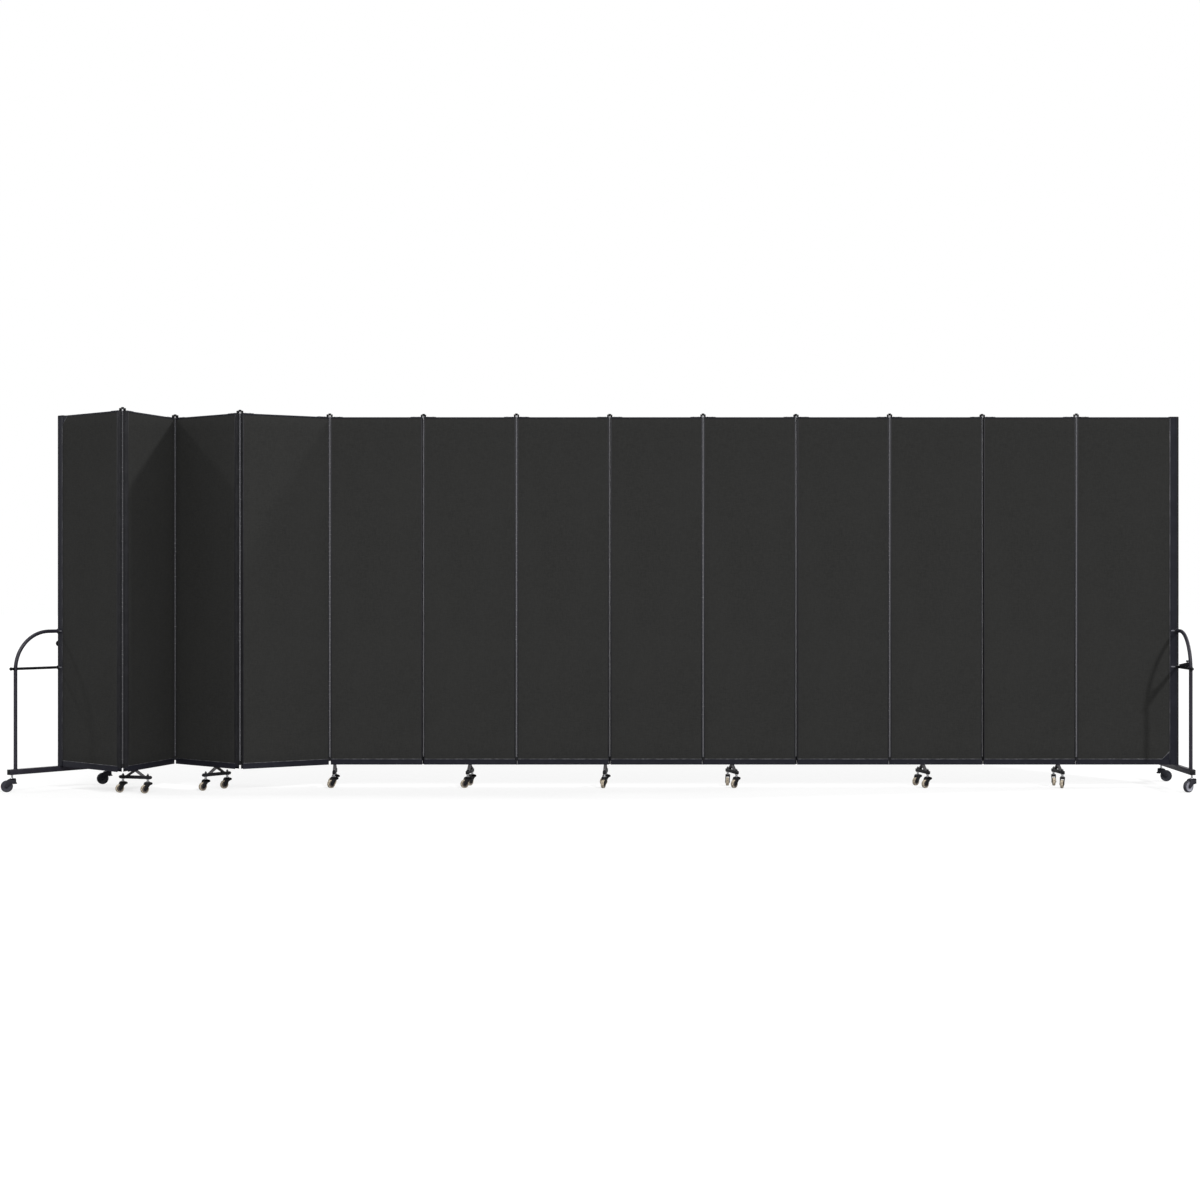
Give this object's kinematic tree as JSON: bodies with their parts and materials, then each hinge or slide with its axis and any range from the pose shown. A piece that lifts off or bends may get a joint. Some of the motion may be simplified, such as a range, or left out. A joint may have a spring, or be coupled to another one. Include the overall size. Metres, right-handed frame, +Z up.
{
  "type": "accordion folding partition",
  "caption": "Free-standing folding room divider: fabric-faced panels hinged edge to edge on caster feet, with arched end frames.",
  "frame": {"origin": "on the floor, under the middle of the partition's overall length and depth as it stands", "axes": "+Z up; +X along the straight run, to the right seen from the front; -Y is the front"},
  "size_m": [7.0929, 0.8582, 2.2605],
  "materials": {
    "panel": "charcoal woven fabric in a dark painted frame",
    "frame_tube": "black powder coat, satin",
    "latch": "zinc-plated steel",
    "end_fork": "black, satin",
    "end_wheel": "grey rubber tread on a lighter hub",
    "pedal": "black moulded plastic",
    "foot_fork": "black, satin",
    "foot_wheel": "cream tread on a dark hub"
  },
  "bodies": {
    "panel_01": {"panel_01": "panel", "end_frame_left": "frame_tube"},
    "panel_02": {"panel_02": "panel"},
    "panel_03": {"panel_03": "panel"},
    "panel_04": {"panel_04": "panel"},
    "panel_05": {"panel_05": "panel"},
    "panel_06": {"panel_06": "panel"},
    "panel_07": {"panel_07": "panel"},
    "panel_08": {"panel_08": "panel"},
    "panel_09": {"panel_09": "panel"},
    "panel_10": {"panel_10": "panel"},
    "panel_11": {"panel_11": "panel"},
    "panel_12": {"panel_12": "panel"},
    "panel_13": {"panel_13": "panel", "end_frame_right": "frame_tube"},
    "storage_latch": {"storage_latch": "latch"},
    "end_caster_fork_1": {"end_caster_fork_1": "end_fork"},
    "end_caster_wheel_1": {"end_caster_wheel_1": "end_wheel"},
    "brake_pedal_1": {"brake_pedal_1": "pedal"},
    "end_caster_fork_2": {"end_caster_fork_2": "end_fork"},
    "end_caster_wheel_2": {"end_caster_wheel_2": "end_wheel"},
    "brake_pedal_2": {"brake_pedal_2": "pedal"},
    "end_caster_fork_3": {"end_caster_fork_3": "end_fork"},
    "end_caster_wheel_3": {"end_caster_wheel_3": "end_wheel"},
    "brake_pedal_3": {"brake_pedal_3": "pedal"},
    "end_caster_fork_4": {"end_caster_fork_4": "end_fork"},
    "end_caster_wheel_4": {"end_caster_wheel_4": "end_wheel"},
    "brake_pedal_4": {"brake_pedal_4": "pedal"},
    "foot_caster_fork_01": {"foot_caster_fork_01": "foot_fork"},
    "foot_caster_wheel_01": {"foot_caster_wheel_01": "foot_wheel"},
    "foot_caster_fork_02": {"foot_caster_fork_02": "foot_fork"},
    "foot_caster_wheel_02": {"foot_caster_wheel_02": "foot_wheel"},
    "foot_caster_fork_03": {"foot_caster_fork_03": "foot_fork"},
    "foot_caster_wheel_03": {"foot_caster_wheel_03": "foot_wheel"},
    "foot_caster_fork_04": {"foot_caster_fork_04": "foot_fork"},
    "foot_caster_wheel_04": {"foot_caster_wheel_04": "foot_wheel"},
    "foot_caster_fork_05": {"foot_caster_fork_05": "foot_fork"},
    "foot_caster_wheel_05": {"foot_caster_wheel_05": "foot_wheel"},
    "foot_caster_fork_06": {"foot_caster_fork_06": "foot_fork"},
    "foot_caster_wheel_06": {"foot_caster_wheel_06": "foot_wheel"},
    "foot_caster_fork_07": {"foot_caster_fork_07": "foot_fork"},
    "foot_caster_wheel_07": {"foot_caster_wheel_07": "foot_wheel"},
    "foot_caster_fork_08": {"foot_caster_fork_08": "foot_fork"},
    "foot_caster_wheel_08": {"foot_caster_wheel_08": "foot_wheel"},
    "foot_caster_fork_09": {"foot_caster_fork_09": "foot_fork"},
    "foot_caster_wheel_09": {"foot_caster_wheel_09": "foot_wheel"},
    "foot_caster_fork_10": {"foot_caster_fork_10": "foot_fork"},
    "foot_caster_wheel_10": {"foot_caster_wheel_10": "foot_wheel"},
    "foot_caster_fork_11": {"foot_caster_fork_11": "foot_fork"},
    "foot_caster_wheel_11": {"foot_caster_wheel_11": "foot_wheel"},
    "foot_caster_fork_12": {"foot_caster_fork_12": "foot_fork"},
    "foot_caster_wheel_12": {"foot_caster_wheel_12": "foot_wheel"},
    "foot_caster_fork_13": {"foot_caster_fork_13": "foot_fork"},
    "foot_caster_wheel_13": {"foot_caster_wheel_13": "foot_wheel"},
    "foot_caster_fork_14": {"foot_caster_fork_14": "foot_fork"},
    "foot_caster_wheel_14": {"foot_caster_wheel_14": "foot_wheel"},
    "foot_caster_fork_15": {"foot_caster_fork_15": "foot_fork"},
    "foot_caster_wheel_15": {"foot_caster_wheel_15": "foot_wheel"},
    "foot_caster_fork_16": {"foot_caster_fork_16": "foot_fork"},
    "foot_caster_wheel_16": {"foot_caster_wheel_16": "foot_wheel"}
  },
  "joints": [
    {"name": "hinge_01", "type": "hinge", "parent": "panel_02", "child": "panel_01", "pos_m": [-2.78901, -0.40861, 1.186], "axis": [0, 0, 1], "range_deg": [-65.05, 0]},
    {"name": "hinge_02", "type": "hinge", "parent": "panel_03", "child": "panel_02", "pos_m": [-2.59226, 0.12206, 1.186], "axis": [0, 0, 1], "range_deg": [0, 67.05]},
    {"name": "hinge_03", "type": "hinge", "parent": "panel_04", "child": "panel_03", "pos_m": [-2.13824, -0.21584, 1.186], "axis": [0, 0, 1], "range_deg": [-108.05, 0]},
    {"name": "hinge_04", "type": "hinge", "parent": "panel_05", "child": "panel_04", "pos_m": [-1.6416, 0.05558, 1.186], "axis": [0, 0, 1], "range_deg": [0, 148.05]},
    {"name": "hinge_05", "type": "hinge", "parent": "panel_06", "child": "panel_05", "pos_m": [-1.0766, 0.08858, 1.186], "axis": [0, 0, 1], "range_deg": [-180.05, 0]},
    {"name": "hinge_06", "type": "hinge", "parent": "panel_07", "child": "panel_06", "pos_m": [-0.5116, 0.05558, 1.186], "axis": [0, 0, 1], "range_deg": [0, 180]},
    {"name": "hinge_07", "type": "hinge", "parent": "panel_07", "child": "panel_08", "pos_m": [0.0534, 0.08858, 1.186], "axis": [0, 0, 1], "range_deg": [0, 180.05]},
    {"name": "hinge_08", "type": "hinge", "parent": "panel_08", "child": "panel_09", "pos_m": [0.6184, 0.05558, 1.186], "axis": [0, 0, 1], "range_deg": [-180.05, 0]},
    {"name": "hinge_09", "type": "hinge", "parent": "panel_09", "child": "panel_10", "pos_m": [1.1834, 0.08858, 1.186], "axis": [0, 0, 1], "range_deg": [0, 180.05]},
    {"name": "hinge_10", "type": "hinge", "parent": "panel_10", "child": "panel_11", "pos_m": [1.7484, 0.05558, 1.186], "axis": [0, 0, 1], "range_deg": [-180.05, 0]},
    {"name": "hinge_11", "type": "hinge", "parent": "panel_11", "child": "panel_12", "pos_m": [2.3134, 0.08858, 1.186], "axis": [0, 0, 1], "range_deg": [0, 180.05]},
    {"name": "hinge_12", "type": "hinge", "parent": "panel_12", "child": "panel_13", "pos_m": [2.8784, 0.05558, 1.186], "axis": [0, 0, 1], "range_deg": [-180.05, 0]},
    {"name": "latch_pivot", "type": "hinge", "parent": "panel_13", "child": "storage_latch", "pos_m": [3.4874, -0.20692, 0.751], "axis": [1, 0, 0], "range_deg": [0, 50]},
    {"name": "end_swivel_1", "type": "hinge", "parent": "panel_01", "child": "end_caster_fork_1", "pos_m": [-3.47545, -0.26084, 0.09], "axis": [0, 0, 1], "continuous": true},
    {"name": "end_wheel_spin_1", "type": "hinge", "parent": "end_caster_fork_1", "child": "end_caster_wheel_1", "pos_m": [-3.50528, -0.26397, 0.035], "axis": [0.1045, -0.9945, 0], "continuous": true},
    {"name": "pedal_pivot_1", "type": "hinge", "parent": "end_caster_fork_1", "child": "brake_pedal_1", "pos_m": [-3.46351, -0.25958, 0.06], "axis": [-0.1045, 0.9945, 0], "range_deg": [0, 15]},
    {"name": "end_swivel_2", "type": "hinge", "parent": "panel_01", "child": "end_caster_fork_2", "pos_m": [-3.02981, 0.2341, 0.09], "axis": [0, 0, 1], "continuous": true},
    {"name": "end_wheel_spin_2", "type": "hinge", "parent": "end_caster_fork_2", "child": "end_caster_wheel_2", "pos_m": [-3.05677, 0.22095, 0.035], "axis": [0.4384, -0.8988, 0], "continuous": true},
    {"name": "pedal_pivot_2", "type": "hinge", "parent": "end_caster_fork_2", "child": "brake_pedal_2", "pos_m": [-3.01902, 0.23936, 0.06], "axis": [-0.4384, 0.8988, 0], "range_deg": [0, 15]},
    {"name": "end_swivel_3", "type": "hinge", "parent": "panel_13", "child": "end_caster_fork_3", "pos_m": [3.4874, -0.26092, 0.09], "axis": [0, 0, 1], "continuous": true},
    {"name": "end_wheel_spin_3", "type": "hinge", "parent": "end_caster_fork_3", "child": "end_caster_wheel_3", "pos_m": [3.46196, -0.27682, 0.035], "axis": [0.5299, -0.848, 0], "continuous": true},
    {"name": "pedal_pivot_3", "type": "hinge", "parent": "end_caster_fork_3", "child": "brake_pedal_3", "pos_m": [3.49757, -0.25456, 0.06], "axis": [-0.5299, 0.848, 0], "range_deg": [0, 15]},
    {"name": "end_swivel_4", "type": "hinge", "parent": "panel_13", "child": "end_caster_fork_4", "pos_m": [3.4874, 0.40508, 0.09], "axis": [0, 0, 1], "continuous": true},
    {"name": "end_wheel_spin_4", "type": "hinge", "parent": "end_caster_fork_4", "child": "end_caster_wheel_4", "pos_m": [3.51674, 0.39884, 0.035], "axis": [0.2079, 0.9781, 0], "continuous": true},
    {"name": "pedal_pivot_4", "type": "hinge", "parent": "end_caster_fork_4", "child": "brake_pedal_4", "pos_m": [3.47566, 0.40758, 0.06], "axis": [-0.2079, -0.9781, 0], "range_deg": [0, 15]},
    {"name": "foot_swivel_01", "type": "hinge", "parent": "panel_02", "child": "foot_caster_fork_01", "pos_m": [-2.66013, -0.32394, 0.07], "axis": [0, 0, 1], "continuous": true},
    {"name": "foot_wheel_spin_01", "type": "hinge", "parent": "foot_caster_fork_01", "child": "foot_caster_wheel_01", "pos_m": [-2.67589, -0.33625, 0.025], "axis": [0.6157, -0.788, 0], "continuous": true},
    {"name": "foot_swivel_02", "type": "hinge", "parent": "panel_02", "child": "foot_caster_fork_02", "pos_m": [-2.81696, -0.27599, 0.07], "axis": [0, 0, 1], "continuous": true},
    {"name": "foot_wheel_spin_02", "type": "hinge", "parent": "foot_caster_fork_02", "child": "foot_caster_wheel_02", "pos_m": [-2.83392, -0.28659, 0.025], "axis": [0.5299, -0.848, 0], "continuous": true},
    {"name": "foot_swivel_03", "type": "hinge", "parent": "panel_03", "child": "foot_caster_fork_03", "pos_m": [-2.35044, -0.16636, 0.07], "axis": [0, 0, 1], "continuous": true},
    {"name": "foot_wheel_spin_03", "type": "hinge", "parent": "foot_caster_fork_03", "child": "foot_caster_wheel_03", "pos_m": [-2.3653, -0.17974, 0.025], "axis": [0.6691, -0.7431, 0], "continuous": true},
    {"name": "foot_swivel_04", "type": "hinge", "parent": "panel_03", "child": "foot_caster_fork_04", "pos_m": [-2.24502, -0.04073, 0.07], "axis": [0, 0, 1], "continuous": true},
    {"name": "foot_wheel_spin_04", "type": "hinge", "parent": "foot_caster_fork_04", "child": "foot_caster_wheel_04", "pos_m": [-2.26078, -0.05304, 0.025], "axis": [0.6157, -0.788, 0], "continuous": true},
    {"name": "foot_swivel_05", "type": "hinge", "parent": "panel_05", "child": "foot_caster_fork_05", "pos_m": [-1.60763, -0.00972, 0.07], "axis": [0, 0, 1], "continuous": true},
    {"name": "foot_wheel_spin_05", "type": "hinge", "parent": "foot_caster_fork_05", "child": "foot_caster_wheel_05", "pos_m": [-1.62295, -0.02258, 0.025], "axis": [0.6428, -0.766, 0], "continuous": true},
    {"name": "foot_swivel_06", "type": "hinge", "parent": "panel_05", "child": "foot_caster_fork_06", "pos_m": [-1.61907, 0.15388, 0.07], "axis": [0, 0, 1], "continuous": true},
    {"name": "foot_wheel_spin_06", "type": "hinge", "parent": "foot_caster_fork_06", "child": "foot_caster_wheel_06", "pos_m": [-1.63787, 0.14704, 0.025], "axis": [0.342, -0.9397, 0], "continuous": true},
    {"name": "foot_swivel_07", "type": "hinge", "parent": "panel_06", "child": "foot_caster_fork_07", "pos_m": [-0.80267, -0.00947, 0.07], "axis": [0, 0, 1], "continuous": true},
    {"name": "foot_wheel_spin_07", "type": "hinge", "parent": "foot_caster_fork_07", "child": "foot_caster_wheel_07", "pos_m": [-0.8208, -0.01792, 0.025], "axis": [0.4226, -0.9063, 0], "continuous": true},
    {"name": "foot_swivel_08", "type": "hinge", "parent": "panel_06", "child": "foot_caster_fork_08", "pos_m": [-0.78553, 0.15363, 0.07], "axis": [0, 0, 1], "continuous": true},
    {"name": "foot_wheel_spin_08", "type": "hinge", "parent": "foot_caster_fork_08", "child": "foot_caster_wheel_08", "pos_m": [-0.79784, 0.13787, 0.025], "axis": [0.788, -0.6157, 0], "continuous": true},
    {"name": "foot_swivel_09", "type": "hinge", "parent": "panel_07", "child": "foot_caster_fork_09", "pos_m": [0.02112, -0.00972, 0.07], "axis": [0, 0, 1], "continuous": true},
    {"name": "foot_wheel_spin_09", "type": "hinge", "parent": "foot_caster_fork_09", "child": "foot_caster_wheel_09", "pos_m": [0.01428, -0.02851, 0.025], "axis": [0.9397, -0.342, 0], "continuous": true},
    {"name": "foot_swivel_10", "type": "hinge", "parent": "panel_07", "child": "foot_caster_fork_10", "pos_m": [0.03256, 0.15388, 0.07], "axis": [0, 0, 1], "continuous": true},
    {"name": "foot_wheel_spin_10", "type": "hinge", "parent": "foot_caster_fork_10", "child": "foot_caster_wheel_10", "pos_m": [0.0168, 0.14157, 0.025], "axis": [0.6157, -0.788, 0], "continuous": true},
    {"name": "foot_swivel_11", "type": "hinge", "parent": "panel_09", "child": "foot_caster_fork_11", "pos_m": [0.81647, -0.00713, 0.07], "axis": [0, 0, 1], "continuous": true},
    {"name": "foot_wheel_spin_11", "type": "hinge", "parent": "foot_caster_fork_11", "child": "foot_caster_wheel_11", "pos_m": [0.80257, -0.02151, 0.025], "axis": [0.7193, -0.6947, 0], "continuous": true},
    {"name": "foot_swivel_12", "type": "hinge", "parent": "panel_09", "child": "foot_caster_fork_12", "pos_m": [0.77402, 0.15129, 0.07], "axis": [0, 0, 1], "continuous": true},
    {"name": "foot_wheel_spin_12", "type": "hinge", "parent": "foot_caster_fork_12", "child": "foot_caster_wheel_12", "pos_m": [0.77089, 0.13153, 0.025], "axis": [0.9877, -0.1564, 0], "continuous": true},
    {"name": "foot_swivel_13", "type": "hinge", "parent": "panel_11", "child": "foot_caster_fork_13", "pos_m": [1.96828, -0.00813, 0.07], "axis": [0, 0, 1], "continuous": true},
    {"name": "foot_wheel_spin_13", "type": "hinge", "parent": "foot_caster_fork_13", "child": "foot_caster_wheel_13", "pos_m": [1.9519, -0.0196, 0.025], "axis": [0.5736, -0.8192, 0], "continuous": true},
    {"name": "foot_swivel_14", "type": "hinge", "parent": "panel_11", "child": "foot_caster_fork_14", "pos_m": [1.93418, 0.15229, 0.07], "axis": [0, 0, 1], "continuous": true},
    {"name": "foot_wheel_spin_14", "type": "hinge", "parent": "foot_caster_fork_14", "child": "foot_caster_wheel_14", "pos_m": [1.91932, 0.13891, 0.025], "axis": [0.6691, -0.7431, 0], "continuous": true},
    {"name": "foot_swivel_15", "type": "hinge", "parent": "panel_12", "child": "foot_caster_fork_15", "pos_m": [2.77962, -0.00947, 0.07], "axis": [0, 0, 1], "continuous": true},
    {"name": "foot_wheel_spin_15", "type": "hinge", "parent": "foot_caster_fork_15", "child": "foot_caster_wheel_15", "pos_m": [2.77278, -0.02826, 0.025], "axis": [0.9397, -0.342, 0], "continuous": true},
    {"name": "foot_swivel_16", "type": "hinge", "parent": "panel_12", "child": "foot_caster_fork_16", "pos_m": [2.76248, 0.15363, 0.07], "axis": [0, 0, 1], "continuous": true},
    {"name": "foot_wheel_spin_16", "type": "hinge", "parent": "foot_caster_fork_16", "child": "foot_caster_wheel_16", "pos_m": [2.75969, 0.13382, 0.025], "axis": [0.9903, -0.1392, 0], "continuous": true}
  ],
  "couplings": [
    {"joint": "hinge_01", "follows": "hinge_06", "ratio": -0.36111},
    {"joint": "hinge_02", "follows": "hinge_06", "ratio": 0.37222},
    {"joint": "hinge_03", "follows": "hinge_06", "ratio": -0.6},
    {"joint": "hinge_04", "follows": "hinge_06", "ratio": 0.82222},
    {"joint": "hinge_05", "follows": "hinge_06", "ratio": -1},
    {"joint": "hinge_07", "follows": "hinge_06", "ratio": 1},
    {"joint": "hinge_08", "follows": "hinge_06", "ratio": -1},
    {"joint": "hinge_09", "follows": "hinge_06", "ratio": 1},
    {"joint": "hinge_10", "follows": "hinge_06", "ratio": -1},
    {"joint": "hinge_11", "follows": "hinge_06", "ratio": 1},
    {"joint": "hinge_12", "follows": "hinge_06", "ratio": -1}
  ]
}
